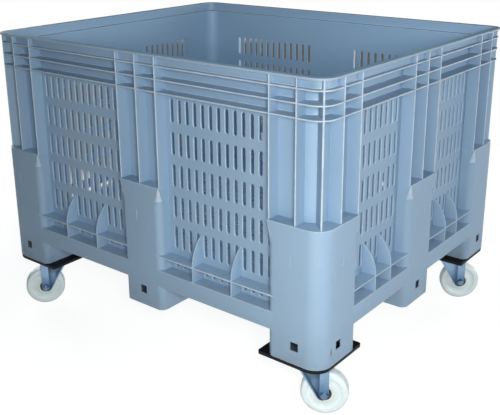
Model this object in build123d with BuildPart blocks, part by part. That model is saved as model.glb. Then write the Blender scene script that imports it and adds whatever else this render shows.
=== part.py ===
from build123d import *
import os

# A perforated pallet box of moulded plastic on four swivel castors. Millimetres, +Z up.
# The origin is on the floor, below the middle of the box. +X runs along the long walls.

# Overall sizes
length = 1200.0
width = 1000.0
box_height = 724.0
adapter_thick = 10.0

# Wall section: an inset is a distance inwards from the outer plane of a wall
skin_inset = 41.0
skin_thick = 4.0
inner_corner_r = 40.0
corner_r = 48.0
rib_inset = 4.0
rib_thick = 4.0
rim_thick = 5.0
upstand_inset = 18.0
upstand_thick = 5.0
top_rib_drop = 27.0
top_rib_pitch = 34.0
top_rib_count = 3

# Posts and the boots that close their lower ends
corner_reach = 163.0
corner_rib_at = 84.0
corner_seam_thick = 5.0
mid_half = 74.0
boot_height = 366.0
boot_wall = 5.0
boot_edge_r = 20.0
boot_runout = 60.0
boot_runout_r = 1.0
foot_depth = 160.0
foot_floor = 6.0
foot_inner_r = 8.0
window_at = 79.0
window_size = 24.0
window_height = 49.0
mark_width = 27.0
mark_tall = 30.0
mark_height = 271.0
mark_depth = 0.8

# Sills between the boots, heights above the underside of the feet
skirt_bottom = 74.0
sill_top = 124.0
ledge_rise = 44.0
ledge_thick = 4.0
gusset_rise = 82.0
gusset_thick = 4.0
gusset_columns = 5

# Ventilation slots
slot_length = 64.0
slot_width = 11.0
slot_pitch = 26.6
row_pitch = 89.0
slot_margin = 20.0
row_margin = 14.0
short_slot_length = 26.0
short_slot_rise = 19.0

# Deck
deck_thick = 6.0
deck_slot_pitch = 40.0
deck_rib_thick = 4.0
deck_rib_step = 3

# Castors
castor_headroom = 45.0
castor_shift = 8.0
trail = 39.0
adapter_inset = 1.0
adapter_overhang = 30.0
adapter_corner_r = 6.0
plate_margin = 15.0
plate_thick = 5.0
plate_corner_r = 8.0
bolt_margin = 29.0
bolt_gap_y = 80.0
bolt_r = 5.0
bolt_hole_r = 5.5
bolt_flats = 17.0
bolt_head = 6.4
bolt_end = 2.0
nut_tall = 8.0
race_r = 30.0
race_half = 8.0
ball_r = 4.0
ball_count = 18
ball_clearance = 0.1
ball_sink = 1.0
king_r = 8.0
king_head_r = 17.0
king_head_tall = 5.0
swivel_gap = 0.2
running_clearance = 0.05
seat_clearance = 0.02

# Fork, wheel and axle
crown_thick = 4.0
crown_r = 40.0
leg_gap = 3.0
leg_thick = 3.0
leg_back = 37.0
leg_half = 16.0
leg_lead = 4.0
strip_half = 12.0
strip_proud = 3.0
lip_width = 5.0
lip_proud = 2.5
wheel_r = 62.5
wheel_half = 19.0
tread_half = 11.0
shoulder_drop = 8.5
face_ring_drop = 16.0
web_recess = 3.0
web_slope = 2.0
hub_boss_wall = 8.0
bearing_r = 19.0
bearing_proud = 1.5
sleeve_r = 7.5
axle_r = 6.0
axle_flats = 17.0
axle_head = 6.5
axle_nut_tall = 10.0
axle_end = 2.5

# Rest angle of each castor: the way its wheel trails, in degrees from +X
trail_angles = {"front_right": 30.0, "rear_right": 36.0, "front_left": 232.0, "rear_left": 150.0}

# Heights and places that follow from the sizes above; each castor is inwards from the middle of its foot
castor_height = 2 * wheel_r + castor_headroom
foot_z = castor_height + adapter_thick
rim_z = foot_z + box_height
boot_z = foot_z + boot_height
deck_z = foot_z + sill_top
deck_low = deck_z - deck_thick
sill_ledge_z = deck_z + ledge_rise
skirt_z = foot_z + skirt_bottom
rib_tops = [rim_z - top_rib_drop - top_rib_pitch * place for place in range(top_rib_count)]
step_z = rib_tops[0]
step_low = step_z - rib_thick
panel_high = rib_tops[-1] - rib_thick
inner_inset = skin_inset + skin_thick
upstand_inner = upstand_inset + upstand_thick
swivel_inset = corner_reach / 2 + castor_shift
bolt_gap_x = corner_reach - 2 * bolt_margin
plate_length = bolt_gap_x + 2 * plate_margin
plate_width = bolt_gap_y + 2 * plate_margin
bearing_half = wheel_half + bearing_proud
hub_boss_r = bearing_r + hub_boss_wall
ball_z = castor_height - plate_thick - race_half
crown_top = ball_z - ball_r + ball_sink
crown_low = crown_top - crown_thick
race_low = ball_z + ball_r - ball_sink
leg_inner = wheel_half + leg_gap
leg_outer = leg_inner + leg_thick
strip_outer = leg_outer + strip_proud
leg_end = trail - leg_lead
leg_reach = leg_back + leg_end + leg_half
leg_middle = leg_reach / 2 - leg_back

# The two walls that are drawn, each on its outer plane with the wall's middle as local X zero;
# the other two are their mirror images
front_wall = Plane(origin=(0, -width / 2, 0), x_dir=(1, 0, 0), z_dir=(0, -1, 0))
right_wall = Plane(origin=(length / 2, 0, 0), x_dir=(0, 1, 0), z_dir=(1, 0, 0))

os.makedirs("parts", exist_ok=True)


def save(piece, name):
    """Label a finished piece and write it."""
    piece.label = name
    export_step(piece, f"parts/{name}.step")


def corner_radius(inset):
    """Corner radius of the box's outline at an inset from its outer planes."""
    if inset < skin_inset:
        return corner_r - inset
    return inner_corner_r + inner_inset - inset


def outline(inset, mode=Mode.ADD):
    """Draw the box's rounded outline at an inset."""
    RectangleRounded(length - 2 * inset, width - 2 * inset, corner_radius(inset), mode=mode)


def slab(wall, start, end, low, high, near, far, mode=Mode.ADD):
    """Add a straight block of a wall, from one inset to a deeper one."""
    with BuildSketch(wall.offset(-far)) as face:
        with Locations(((start + end) / 2, (low + high) / 2)):
            Rectangle(end - start, high - low)
    extrude(face.sketch, amount=far - near, mode=mode)


def plan(wall, height):
    """A level plane whose X runs along the wall and whose Y points into the box."""
    return Plane(origin=wall.origin + Vector(0, 0, height), x_dir=wall.x_dir, z_dir=(0, 0, 1))


def top_bands():
    """The bands along the top of every wall, each as near inset, far inset, low and high."""
    yield 0, upstand_inner, rim_z - rim_thick, rim_z
    yield upstand_inset, upstand_inner, step_z, rim_z - rim_thick
    yield rib_inset, inner_inset, step_low, step_z
    for top in rib_tops[1:]:
        yield rib_inset, skin_inset, top - rib_thick, top


def rib_spans():
    """The two height spans of an upright rib, each as far inset, low and high."""
    yield skin_inset, boot_z, step_low
    yield upstand_inset, step_z, rim_z - rim_thick


def edge_section(wall, height, at, towards, radius):
    """The sliver between a boot's square edge and its rounding."""
    with BuildSketch(plan(wall, height)) as section:
        with Locations((at + towards * radius / 2, radius / 2)):
            Rectangle(radius, radius)
        with Locations((at + towards * radius, radius)):
            Circle(radius, mode=Mode.SUBTRACT)
    return section.sketch


def round_edge(wall, at, towards):
    """Round a boot's upright edge above and below the skirt, running out to a point at the boot's top."""
    runout_z = boot_z - boot_runout
    for low, high in ((foot_z, skirt_z), (deck_z, runout_z)):
        extrude(edge_section(wall, low, at, towards, boot_edge_r), amount=high - low, mode=Mode.SUBTRACT)
    wide = edge_section(wall, runout_z, at, towards, boot_edge_r)
    narrow = edge_section(wall, boot_z, at, towards, boot_runout_r)
    loft([wide.face(), narrow.face()], ruled=True, mode=Mode.SUBTRACT)


def boot_openings(wall, at):
    """Cut a boot's square window and its shallow mark."""
    for wide, tall, height, depth in (
        (window_size, window_size, window_height, boot_wall),
        (mark_width, mark_tall, mark_height, mark_depth),
    ):
        low = foot_z + height - tall / 2
        slab(wall, at - wide / 2, at + wide / 2, low, low + tall, 0, depth, Mode.SUBTRACT)


def make_mid_post(wall):
    """The ribbed post at a wall's middle, with its boot and foot."""

    def hollow(far, low, high):
        with BuildSketch(plan(wall, low)) as room:
            with Locations((0, (boot_wall + far) / 2)):
                Rectangle(2 * (mid_half - boot_wall), far - boot_wall)
            fillet(room.vertices().group_by(Axis.Y)[0], boot_edge_r - boot_wall)
        extrude(room.sketch, amount=high - low, mode=Mode.SUBTRACT)

    with BuildPart() as post:
        slab(wall, -mid_half, mid_half, foot_z, deck_low, 0, foot_depth)
        fillet(post.edges().filter_by(Axis.Z).sort_by(Axis((0, 0, 0), wall.z_dir))[:2], foot_inner_r)
        slab(wall, -mid_half, mid_half, deck_low, boot_z, 0, skin_inset)
        hollow(foot_depth - boot_wall, foot_z + foot_floor, deck_low)
        hollow(skin_inset, deck_low, boot_z - boot_wall)
        round_edge(wall, -mid_half, 1)
        round_edge(wall, mid_half, -1)
        boot_openings(wall, 0)
        slab(wall, -mid_half, mid_half, deck_low, step_low, skin_inset, inner_inset)
        for near, far, low, high in top_bands():
            slab(wall, -mid_half, mid_half, low, high, near, far)
        for far, low, high in rib_spans():
            for at in (-mid_half, -rib_thick / 2, mid_half - rib_thick):
                slab(wall, at, at + rib_thick, low, high, rib_inset, far)
    return post.part


def make_corner_post():
    """The ribbed post round the front right corner, with its boot and foot."""
    corner_x, corner_y = length / 2, -width / 2
    middle = (corner_x - corner_reach / 2, corner_y + corner_reach / 2)

    def cell(inset, mode=Mode.ADD):
        with Locations(middle):
            Rectangle(corner_reach - 2 * inset, corner_reach - 2 * inset, mode=mode)

    def band(near, far, low, high):
        with BuildSketch(Plane.XY.offset(low)) as ring:
            outline(near)
            outline(far, Mode.SUBTRACT)
            cell(0, Mode.INTERSECT)
        extrude(ring.sketch, amount=high - low)

    def boot(inset, low, high, mode=Mode.ADD):
        with BuildSketch(Plane.XY.offset(low)) as block:
            outline(inset)
            cell(inset, Mode.INTERSECT)
            if low >= deck_low:
                outline(skin_inset, Mode.SUBTRACT)
            if inset:
                ends = block.vertices().sort_by(Axis((0, 0, 0), (1, 1, 0)))
                fillet((ends[0], ends[-1]), boot_edge_r - inset)
        extrude(block.sketch, amount=high - low, mode=mode)

    with BuildSketch() as rib_plan:
        for wall, end, towards in ((front_wall, length / 2, -1), (right_wall, -width / 2, 1)):
            for at in (corner_reach - rib_thick / 2, corner_rib_at):
                spot = plan(wall, 0).from_local_coords((end + towards * at, skin_inset / 2, 0))
                with Locations(spot):
                    Rectangle(rib_thick, skin_inset, rotation=90 if wall is right_wall else 0)
        with Locations(Location((corner_x - corner_r, corner_y + corner_r, 0), -45)):
            Rectangle(2 * corner_reach, corner_seam_thick, align=(Align.MIN, Align.CENTER))

    with BuildPart() as post:
        boot(0, foot_z, deck_low)
        boot(0, deck_low, boot_z)
        boot(boot_wall, foot_z + foot_floor, deck_low, Mode.SUBTRACT)
        boot(boot_wall, deck_low, boot_z - boot_wall, Mode.SUBTRACT)
        round_edge(front_wall, length / 2 - corner_reach, 1)
        round_edge(right_wall, -width / 2 + corner_reach, -1)
        boot_openings(front_wall, length / 2 - window_at)
        boot_openings(right_wall, -width / 2 + window_at)
        band(skin_inset, inner_inset, deck_low, step_low)
        for near, far, low, high in top_bands():
            band(near, far, low, high)
        for far, low, high in rib_spans():
            with BuildSketch(Plane.XY.offset(low)) as ribs:
                outline(rib_inset)
                outline(far, Mode.SUBTRACT)
                add(rib_plan.sketch.moved(Location((0, 0, low))), mode=Mode.INTERSECT)
            extrude(ribs.sketch, amount=high - low)
        with BuildSketch(Plane.XY.offset(foot_z)) as holes:
            with Locations((corner_x - swivel_inset, corner_y + swivel_inset)):
                with GridLocations(bolt_gap_x, bolt_gap_y, 2, 2):
                    Circle(bolt_hole_r)
        extrude(holes.sketch, amount=foot_floor, mode=Mode.SUBTRACT)
    return post.part


def bay(wall):
    """Start and end of the bay between a wall's middle post and its next corner post."""
    half = length / 2 if wall is front_wall else width / 2
    return mid_half, half - corner_reach


def slot_columns(wall):
    start, end = bay(wall)
    return int((end - start - 2 * slot_margin) // slot_pitch) + 1


def make_panels(wall, across):
    """The two slotted panels of a wall, each with a row of short slots behind its sill."""
    start, end = bay(wall)
    middle = (start + end) / 2
    columns = slot_columns(wall)
    rows = int((panel_high - sill_ledge_z - 2 * row_margin - slot_length) // row_pitch) + 1
    with BuildPart() as panels:
        with BuildSketch(wall.offset(-inner_inset)) as face:
            with Locations((middle, (deck_low + panel_high) / 2)):
                Rectangle(end - start, panel_high - deck_low)
            with Locations((middle, (sill_ledge_z + panel_high) / 2)):
                with GridLocations(slot_pitch, row_pitch, columns, rows):
                    SlotOverall(slot_length, slot_width, rotation=90, mode=Mode.SUBTRACT)
            with Locations((middle, deck_z + short_slot_rise)):
                with GridLocations(slot_pitch, row_pitch, columns, 1):
                    SlotOverall(short_slot_length, slot_width, rotation=90, mode=Mode.SUBTRACT)
        extrude(face.sketch, amount=skin_thick)
        mirror(about=across)
    return panels.part


def make_rails(wall, across):
    """The top rails and the sills of a wall's two bays."""
    start, end = bay(wall)
    columns = slot_columns(wall)
    gusset_offset = slot_pitch * (columns // gusset_columns + columns % 2 / 2)
    with BuildPart() as rails:
        for near, far, low, high in top_bands():
            slab(wall, start, end, low, high, near, far)
        slab(wall, start, end, panel_high, step_low, skin_inset, inner_inset)
        ledge_low = sill_ledge_z - ledge_thick
        slab(wall, start, end, ledge_low, sill_ledge_z, 0, skin_inset)
        for at, towards in ((start, -1), (end, 1)):
            extrude(edge_section(wall, ledge_low, at, towards, boot_edge_r), amount=ledge_thick)
        slab(wall, start, end, deck_z - ledge_thick, deck_z, 0, skin_inset)
        slab(wall, start, end, skirt_z, deck_z, 0, boot_wall)
        for side in (-1, 1):
            at = (start + end) / 2 + side * gusset_offset - gusset_thick / 2
            edge = Plane(origin=wall.from_local_coords((at, 0, 0)), x_dir=-wall.z_dir, z_dir=wall.x_dir)
            with BuildSketch(edge) as gusset:
                with BuildLine():
                    foot = (0, sill_ledge_z)
                    peak = (skin_inset, sill_ledge_z + gusset_rise)
                    TangentArc(foot, peak, tangent=(0, 1))
                    Polyline(peak, (skin_inset, deck_z), (0, deck_z), foot)
                make_face()
            extrude(gusset.sketch, amount=gusset_thick)
        mirror(about=across)
    return rails.part


def deck_grid():
    """How many slots the floor has along X and along Y."""
    field_x = length - 2 * corner_reach
    field_y = width - 2 * corner_reach
    columns = int((field_x - 2 * slot_margin - slot_length) // row_pitch) + 1
    rows = int((field_y - 2 * slot_margin - slot_width) // deck_slot_pitch) + 1
    return columns, rows


def make_deck():
    """The slotted floor."""
    columns, rows = deck_grid()
    with BuildPart() as deck:
        with BuildSketch(Plane.XY.offset(deck_low)) as floor:
            outline(inner_inset)
            with GridLocations(row_pitch, deck_slot_pitch, columns, rows):
                SlotOverall(slot_length, slot_width, mode=Mode.SUBTRACT)
        extrude(floor.sketch, amount=deck_thick)
    return deck.part


def rib_places(count, pitch):
    """Where ribs run between the floor's slots, alike on both sides of the middle."""
    first = count * (deck_rib_step + 1) // 2 % deck_rib_step
    return [(place - count / 2) * pitch for place in range(first, count + 1, deck_rib_step)]


def make_deck_ribs():
    """The long ribs under the floor and the cross ribs between them."""
    columns, rows = deck_grid()
    reach_x = length - 2 * inner_inset
    reach_y = width - 2 * inner_inset

    def long_strips(mode):
        for at in rib_places(rows, deck_slot_pitch):
            with Locations((0, at)):
                Rectangle(reach_x, deck_rib_thick, mode=mode)

    def clear_feet():
        with GridLocations(0, width - foot_depth, 1, 2):
            Rectangle(2 * mid_half, foot_depth, mode=Mode.SUBTRACT)
        with GridLocations(length - foot_depth, 0, 2, 1):
            Rectangle(foot_depth, 2 * mid_half, mode=Mode.SUBTRACT)
        with GridLocations(length - corner_reach, width - corner_reach, 2, 2):
            Rectangle(corner_reach, corner_reach, mode=Mode.SUBTRACT)

    with BuildPart() as long_ribs:
        with BuildSketch(Plane.XY.offset(skirt_z)) as strips:
            long_strips(Mode.ADD)
            clear_feet()
        extrude(strips.sketch, amount=deck_low - skirt_z)
    with BuildPart() as cross_ribs:
        with BuildSketch(Plane.XY.offset(skirt_z)) as pieces:
            for at in rib_places(columns, row_pitch):
                with Locations((at, 0)):
                    Rectangle(deck_rib_thick, reach_y)
            long_strips(Mode.SUBTRACT)
            clear_feet()
        extrude(pieces.sketch, amount=deck_low - skirt_z)
    return long_ribs.part, cross_ribs.part


def make_adapter():
    """The black plate between the front right foot and its castor."""
    corner_x, corner_y = length / 2, -width / 2
    side = corner_reach + adapter_overhang - adapter_inset
    middle = adapter_inset + side / 2
    with BuildPart() as adapter:
        with BuildSketch(Plane.XY.offset(castor_height)) as face:
            outline(adapter_inset)
            with Locations((corner_x - middle, corner_y + middle)):
                RectangleRounded(side, side, adapter_corner_r, mode=Mode.INTERSECT)
            with Locations((corner_x - swivel_inset, corner_y + swivel_inset)):
                with GridLocations(bolt_gap_x, bolt_gap_y, 2, 2):
                    Circle(bolt_hole_r, mode=Mode.SUBTRACT)
        extrude(face.sketch, amount=adapter_thick)
    return adapter.part


def make_bolt_set():
    """Four bolts and their nuts, about a castor's swivel axis."""
    head_top = castor_height - plate_thick
    nut_z = foot_z + foot_floor
    with BuildPart() as bolts:
        with BuildSketch(Plane.XY.offset(head_top - bolt_head)) as heads:
            with GridLocations(bolt_gap_x, bolt_gap_y, 2, 2):
                RegularPolygon(bolt_flats / 2, 6, major_radius=False)
        extrude(heads.sketch, amount=bolt_head)
        with BuildSketch(Plane.XY.offset(head_top)) as shanks:
            with GridLocations(bolt_gap_x, bolt_gap_y, 2, 2):
                Circle(bolt_r)
        extrude(shanks.sketch, amount=nut_z + nut_tall + bolt_end - head_top)
        with BuildSketch(Plane.XY.offset(nut_z)) as nuts:
            with GridLocations(bolt_gap_x, bolt_gap_y, 2, 2):
                RegularPolygon(bolt_flats / 2, 6, major_radius=False)
                Circle(bolt_r + seat_clearance, mode=Mode.SUBTRACT)
        extrude(nuts.sketch, amount=nut_tall)
    return bolts.part


def make_top_plate():
    """A castor's bolted plate, with the upper ball track under it."""
    with BuildPart() as plate:
        with BuildSketch(Plane.XY.offset(castor_height - plate_thick)) as face:
            RectangleRounded(plate_length, plate_width, plate_corner_r)
            with GridLocations(bolt_gap_x, bolt_gap_y, 2, 2):
                Circle(bolt_hole_r, mode=Mode.SUBTRACT)
            Circle(king_r + seat_clearance, mode=Mode.SUBTRACT)
        extrude(face.sketch, amount=plate_thick)
        with BuildSketch(Plane.XY.offset(race_low)) as race:
            Circle(race_r + race_half)
            Circle(race_r - race_half, mode=Mode.SUBTRACT)
        extrude(race.sketch, amount=castor_height - plate_thick - race_low)
        with Locations((0, 0, ball_z)):
            Torus(race_r, ball_r + ball_clearance, mode=Mode.SUBTRACT)
    return plate.part


def make_king_pin():
    """The pin that carries the fork, riveted into the plate, with its head under the crown."""
    head_top = crown_low - swivel_gap
    with BuildPart() as pin:
        with BuildSketch(Plane.XY.offset(head_top - king_head_tall)) as head:
            Circle(king_head_r)
        extrude(head.sketch, amount=king_head_tall)
        chamfer(pin.faces().sort_by(Axis.Z)[0].edges(), king_head_tall / 2)
        with BuildSketch(Plane.XY.offset(head_top)) as shaft:
            Circle(king_r)
        extrude(shaft.sketch, amount=castor_height - head_top)
    return pin.part


def make_balls():
    """The ring of balls that the fork turns on."""
    with BuildPart() as balls:
        with Locations((0, 0, ball_z)):
            with PolarLocations(race_r, ball_count):
                Sphere(ball_r)
    return balls.part


def make_fork():
    """The pressed fork: a round crown with the lower ball track, and two legs with stiffened edges."""

    def leg_outline(flip, shift, mode=Mode.ADD):
        """Draw a leg as its side shows it, moved along by a shift."""
        with BuildSketch(mode=Mode.PRIVATE) as outlined:
            with Locations((leg_end + shift, flip * wheel_r)):
                Circle(leg_half)
            with Locations((leg_middle + shift, flip * (crown_low + crown_top) / 2)):
                Rectangle(leg_reach, crown_thick)
            make_hull()
        add(outlined.sketch, mode=mode)

    with BuildPart() as fork:
        with BuildSketch(Plane.XY.offset(crown_low)) as crown:
            Circle(crown_r)
            with Locations((leg_middle, 0)):
                Rectangle(leg_reach, 2 * leg_outer)
            make_hull()
            Circle(king_r + running_clearance, mode=Mode.SUBTRACT)
        extrude(crown.sketch, amount=crown_thick)
        for side in (-1, 1):
            leg_plane = Plane(origin=(0, side * leg_inner, 0), x_dir=(1, 0, 0), z_dir=(0, side, 0))
            flip = -side
            with BuildSketch(leg_plane) as leg:
                leg_outline(flip, 0)
            extrude(leg.sketch, amount=leg_thick)
            with BuildSketch(leg_plane.offset(leg_thick)) as lip:
                leg_outline(flip, 0)
                leg_outline(flip, lip_width, Mode.SUBTRACT)
            extrude(lip.sketch, amount=lip_proud)
            with BuildSketch(leg_plane.offset(leg_thick)) as strip:
                with Locations((trail, flip * wheel_r)):
                    Circle(strip_half)
                with Locations((trail, flip * (wheel_r + crown_low) / 2)):
                    Rectangle(2 * strip_half, crown_low - wheel_r)
            extrude(strip.sketch, amount=strip_proud)
            with BuildSketch(leg_plane) as bore:
                with Locations((trail, flip * wheel_r)):
                    Circle(axle_r + running_clearance)
            extrude(bore.sketch, amount=leg_thick + strip_proud, mode=Mode.SUBTRACT)
        with Locations((0, 0, ball_z)):
            Torus(race_r, ball_r + ball_clearance, mode=Mode.SUBTRACT)
    return fork.part


axle_line = Axis((trail, 0, wheel_r), (0, 1, 0))
axle_section = Plane(origin=(trail, 0, wheel_r), x_dir=(0, 1, 0), z_dir=(1, 0, 0))


def make_wheel():
    """The nylon wheel, with a sunk web."""
    web_half = wheel_half - web_recess
    ring_r = wheel_r - face_ring_drop
    shoulder_r = wheel_r - shoulder_drop
    with BuildPart() as wheel:
        with BuildSketch(axle_section) as section:
            with BuildLine():
                Polyline(
                    (0, bearing_r),
                    (wheel_half, bearing_r),
                    (wheel_half, hub_boss_r),
                    (web_half, hub_boss_r + web_slope),
                    (web_half, ring_r - web_slope),
                    (wheel_half, ring_r),
                    (wheel_half, shoulder_r),
                )
                TangentArc((wheel_half, shoulder_r), (tread_half, wheel_r), tangent=(0, 1))
                Polyline((tread_half, wheel_r), (0, wheel_r), (0, bearing_r))
            make_face()
            mirror(about=Plane.YZ)
        revolve(section.sketch, axis=axle_line)
    return wheel.part


def make_tube(inner_r, outer_r, half):
    """A plain tube about the axle."""
    with BuildPart() as tube:
        with BuildSketch(axle_section) as section:
            with Locations((0, (inner_r + outer_r) / 2)):
                Rectangle(2 * half, outer_r - inner_r)
        revolve(section.sketch, axis=axle_line)
    return tube.part


def make_axle_bolt():
    """The axle bolt, head on one leg of the fork and thread through the other."""
    end = strip_outer + axle_nut_tall + axle_end
    side = Plane(origin=(trail, -strip_outer, wheel_r), x_dir=(1, 0, 0), z_dir=(0, -1, 0))
    with BuildPart() as bolt:
        with BuildSketch(side) as head:
            RegularPolygon(axle_flats / 2, 6, major_radius=False)
        extrude(head.sketch, amount=axle_head)
        with BuildSketch(side) as shaft:
            Circle(axle_r)
        extrude(shaft.sketch, amount=-(strip_outer + end))
    return bolt.part


def make_axle_nut():
    side = Plane(origin=(trail, strip_outer, wheel_r), x_dir=(1, 0, 0), z_dir=(0, 1, 0))
    with BuildPart() as nut:
        with BuildSketch(side) as face:
            RegularPolygon(axle_flats / 2, 6, major_radius=False)
            Circle(axle_r + seat_clearance, mode=Mode.SUBTRACT)
        extrude(face.sketch, amount=axle_nut_tall)
    return nut.part


def mirrored(part, *planes):
    """A copy of a part, mirrored about each plane in turn."""
    copy = part
    for about in planes:
        with BuildPart() as image:
            mirror(copy, about=about)
        copy = image.part
    return copy


def placed(part, place):
    """A copy of a part at a location."""
    with BuildPart() as copy:
        with Locations(place):
            add(part)
    return copy.part


# Box
save(make_deck(), "floor_deck")
long_ribs, cross_ribs = make_deck_ribs()
save(long_ribs, "floor_long_ribs")
save(cross_ribs, "floor_cross_ribs")
front_post = make_mid_post(front_wall)
right_post = make_mid_post(right_wall)
front_panels = make_panels(front_wall, Plane.YZ)
right_panels = make_panels(right_wall, Plane.XZ)
front_rails = make_rails(front_wall, Plane.YZ)
right_rails = make_rails(right_wall, Plane.XZ)
for drawn, opposite, about, pieces in (
    ("front", "rear", Plane.XZ, (front_post, front_panels, front_rails)),
    ("right", "left", Plane.YZ, (right_post, right_panels, right_rails)),
):
    for piece, kind in zip(pieces, ("mid_post", "panels", "rails")):
        save(piece, f"{drawn}_{kind}")
        save(mirrored(piece, about), f"{opposite}_{kind}")

# Corners, each as the planes that carry the front right one there
corners = {
    "front_right": (),
    "front_left": (Plane.YZ,),
    "rear_right": (Plane.XZ,),
    "rear_left": (Plane.YZ, Plane.XZ),
}
corner_post = make_corner_post()
adapter = make_adapter()
bolt_set = make_bolt_set()
fixed_parts = {"top_plate": make_top_plate(), "king_pin": make_king_pin()}
turning_parts = {
    "swivel_balls": make_balls(),
    "fork": make_fork(),
    "wheel": make_wheel(),
    "hub_bearing": make_tube(sleeve_r + running_clearance, bearing_r - seat_clearance, bearing_half),
    "axle_sleeve": make_tube(axle_r + running_clearance, sleeve_r, leg_inner),
    "axle_bolt": make_axle_bolt(),
    "axle_nut": make_axle_nut(),
}
swivel_places = []
for corner, planes in corners.items():
    save(mirrored(corner_post, *planes), f"{corner}_corner_post")
    save(mirrored(adapter, *planes), f"{corner}_adapter_plate")
    along = 1 if "right" in corner else -1
    across = 1 if "rear" in corner else -1
    spot = (along * (length / 2 - swivel_inset), across * (width / 2 - swivel_inset), 0)
    swivel_places.append(Location(spot))
    for kind, piece in fixed_parts.items():
        save(placed(piece, Location(spot)), f"{corner}_{kind}")
    for kind, piece in turning_parts.items():
        save(placed(piece, Location(spot, trail_angles[corner])), f"{corner}_{kind}")

with BuildPart() as castor_bolts:
    with Locations(*swivel_places):
        add(bolt_set)
save(castor_bolts.part, "castor_bolts")
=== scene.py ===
import math
from contextlib import contextmanager
from functools import partialmethod

import bmesh
import bpy
from mathutils import Matrix, Vector


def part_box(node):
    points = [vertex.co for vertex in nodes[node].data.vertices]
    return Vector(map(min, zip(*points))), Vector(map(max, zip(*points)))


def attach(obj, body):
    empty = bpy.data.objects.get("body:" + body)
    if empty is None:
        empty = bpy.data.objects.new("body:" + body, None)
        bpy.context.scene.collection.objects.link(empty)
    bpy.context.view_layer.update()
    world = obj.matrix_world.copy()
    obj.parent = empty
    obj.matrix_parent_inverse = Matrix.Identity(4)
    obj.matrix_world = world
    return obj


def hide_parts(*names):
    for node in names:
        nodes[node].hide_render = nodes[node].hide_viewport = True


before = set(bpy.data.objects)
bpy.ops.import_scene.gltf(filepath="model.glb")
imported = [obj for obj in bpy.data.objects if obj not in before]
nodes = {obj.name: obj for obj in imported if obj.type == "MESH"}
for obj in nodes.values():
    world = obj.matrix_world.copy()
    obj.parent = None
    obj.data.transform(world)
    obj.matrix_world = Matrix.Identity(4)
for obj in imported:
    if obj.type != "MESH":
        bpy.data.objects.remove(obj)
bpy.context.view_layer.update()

scene = bpy.context.scene
scene.view_settings.view_transform = "Standard"

# Sizes of the tub in metres, on the same origin as the frame
HALF_LENGTH, HALF_WIDTH = 0.600, 0.500
FOOT_Z = 0.180
RIM_Z = FOOT_Z + 0.724
BOOT_Z = FOOT_Z + 0.366
SKIRT_Z = FOOT_Z + 0.074
DECK_Z = FOOT_Z + 0.124
DECK_LOW = DECK_Z - 0.006
LEDGE_Z = FOOT_Z + 0.168
LEDGE = 0.004
STEP_Z = RIM_Z - 0.027
RIB_TOPS = (RIM_Z - 0.061, RIM_Z - 0.095)
RIB = 0.004
PANEL_HIGH = RIB_TOPS[-1] - RIB
RIM_THICK = 0.005
UPSTAND_OUT, UPSTAND_IN = 0.018, 0.023
RIB_INSET = 0.004
SKIN_OUT, SKIN_IN = 0.041, 0.045
CORNER_R, INNER_CORNER_R = 0.048, 0.040
CORNER_REACH, CORNER_RIB_AT, SEAM = 0.163, 0.084, 0.005
MID_HALF = 0.074
FOOT_DEPTH, FOOT_R, FOOT_WALL, FOOT_SIDE = 0.160, 0.008, 0.003, 0.012
BOOT_EDGE_R, BOOT_TIP_R, BOOT_RUNOUT = 0.020, 0.001, 0.060
WINDOW_AT, WINDOW, WINDOW_Z = 0.079, 0.024, FOOT_Z + 0.049
MARK_WIDE, MARK_TALL, MARK_DEEP, MARK_Z = 0.027, 0.030, 0.0008, FOOT_Z + 0.271
SLOT_LONG, SLOT_WIDE = 0.064, 0.011
SLOT_PITCH, ROW_PITCH = 0.0266, 0.089
SHORT_SLOT, SHORT_SLOT_Z = 0.026, DECK_Z + 0.019
ROWS, LONG_COLUMNS, SHORT_COLUMNS = 5, 13, 9
DECK_PITCH, DECK_SLOTS = 0.040, (9, 16)
GUSSET_RISE, SKIRT_THICK = 0.082, 0.005

# How far a gusset stands from the middle of its panel, in columns of slots
GUSSET_COLUMNS = {LONG_COLUMNS: 2.5, SHORT_COLUMNS: 1.5}

# The rounding of moulded edges, where it turns, the rounding of thin ones, and the share of its width that
# rounds a rib
EDGE, EDGE_TURN, THIN_EDGE, RIB_ROUND = 0.0012, 0.00036, 0.00096, 0.36

# Small offsets that sink one piece into the next and keep faces from lying in one plane
RIB_BACK, RIB_SUNK, SKIN_LAP, CUT_PAST = 0.00015, 0.001, 0.002, 0.01
SKIN_MEET = SKIN_OUT + SKIN_LAP

# Steps in an arc at a corner, a gusset, a slot's end, a foot and a rib, in a boot's runout, and round a wheel
CORNER_STEPS, GUSSET_STEPS, SLOT_STEPS, FOOT_STEPS, RIB_STEPS, RUNOUT_STEPS = 12, 10, 5, 4, 3, 6
WHEEL_STEPS = 96

# How close points are to be one, how far off its border a sheet's edge and a room's lining may lie, how wide
# a face that rounds an edge is, and the size below which an edge goes
TILE_WELD, NODE_WELD, BORDER_SLACK, ROOM_SLACK = 0.0002, 0.000002, 0.0005, 0.0001
EDGE_FACE, SLIVER = 0.0016, 0.000004
SHARP_ANGLE, BEVEL_ANGLE, FLAT_ANGLE = (math.radians(angle) for angle in (32, 40, 0.6))

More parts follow.
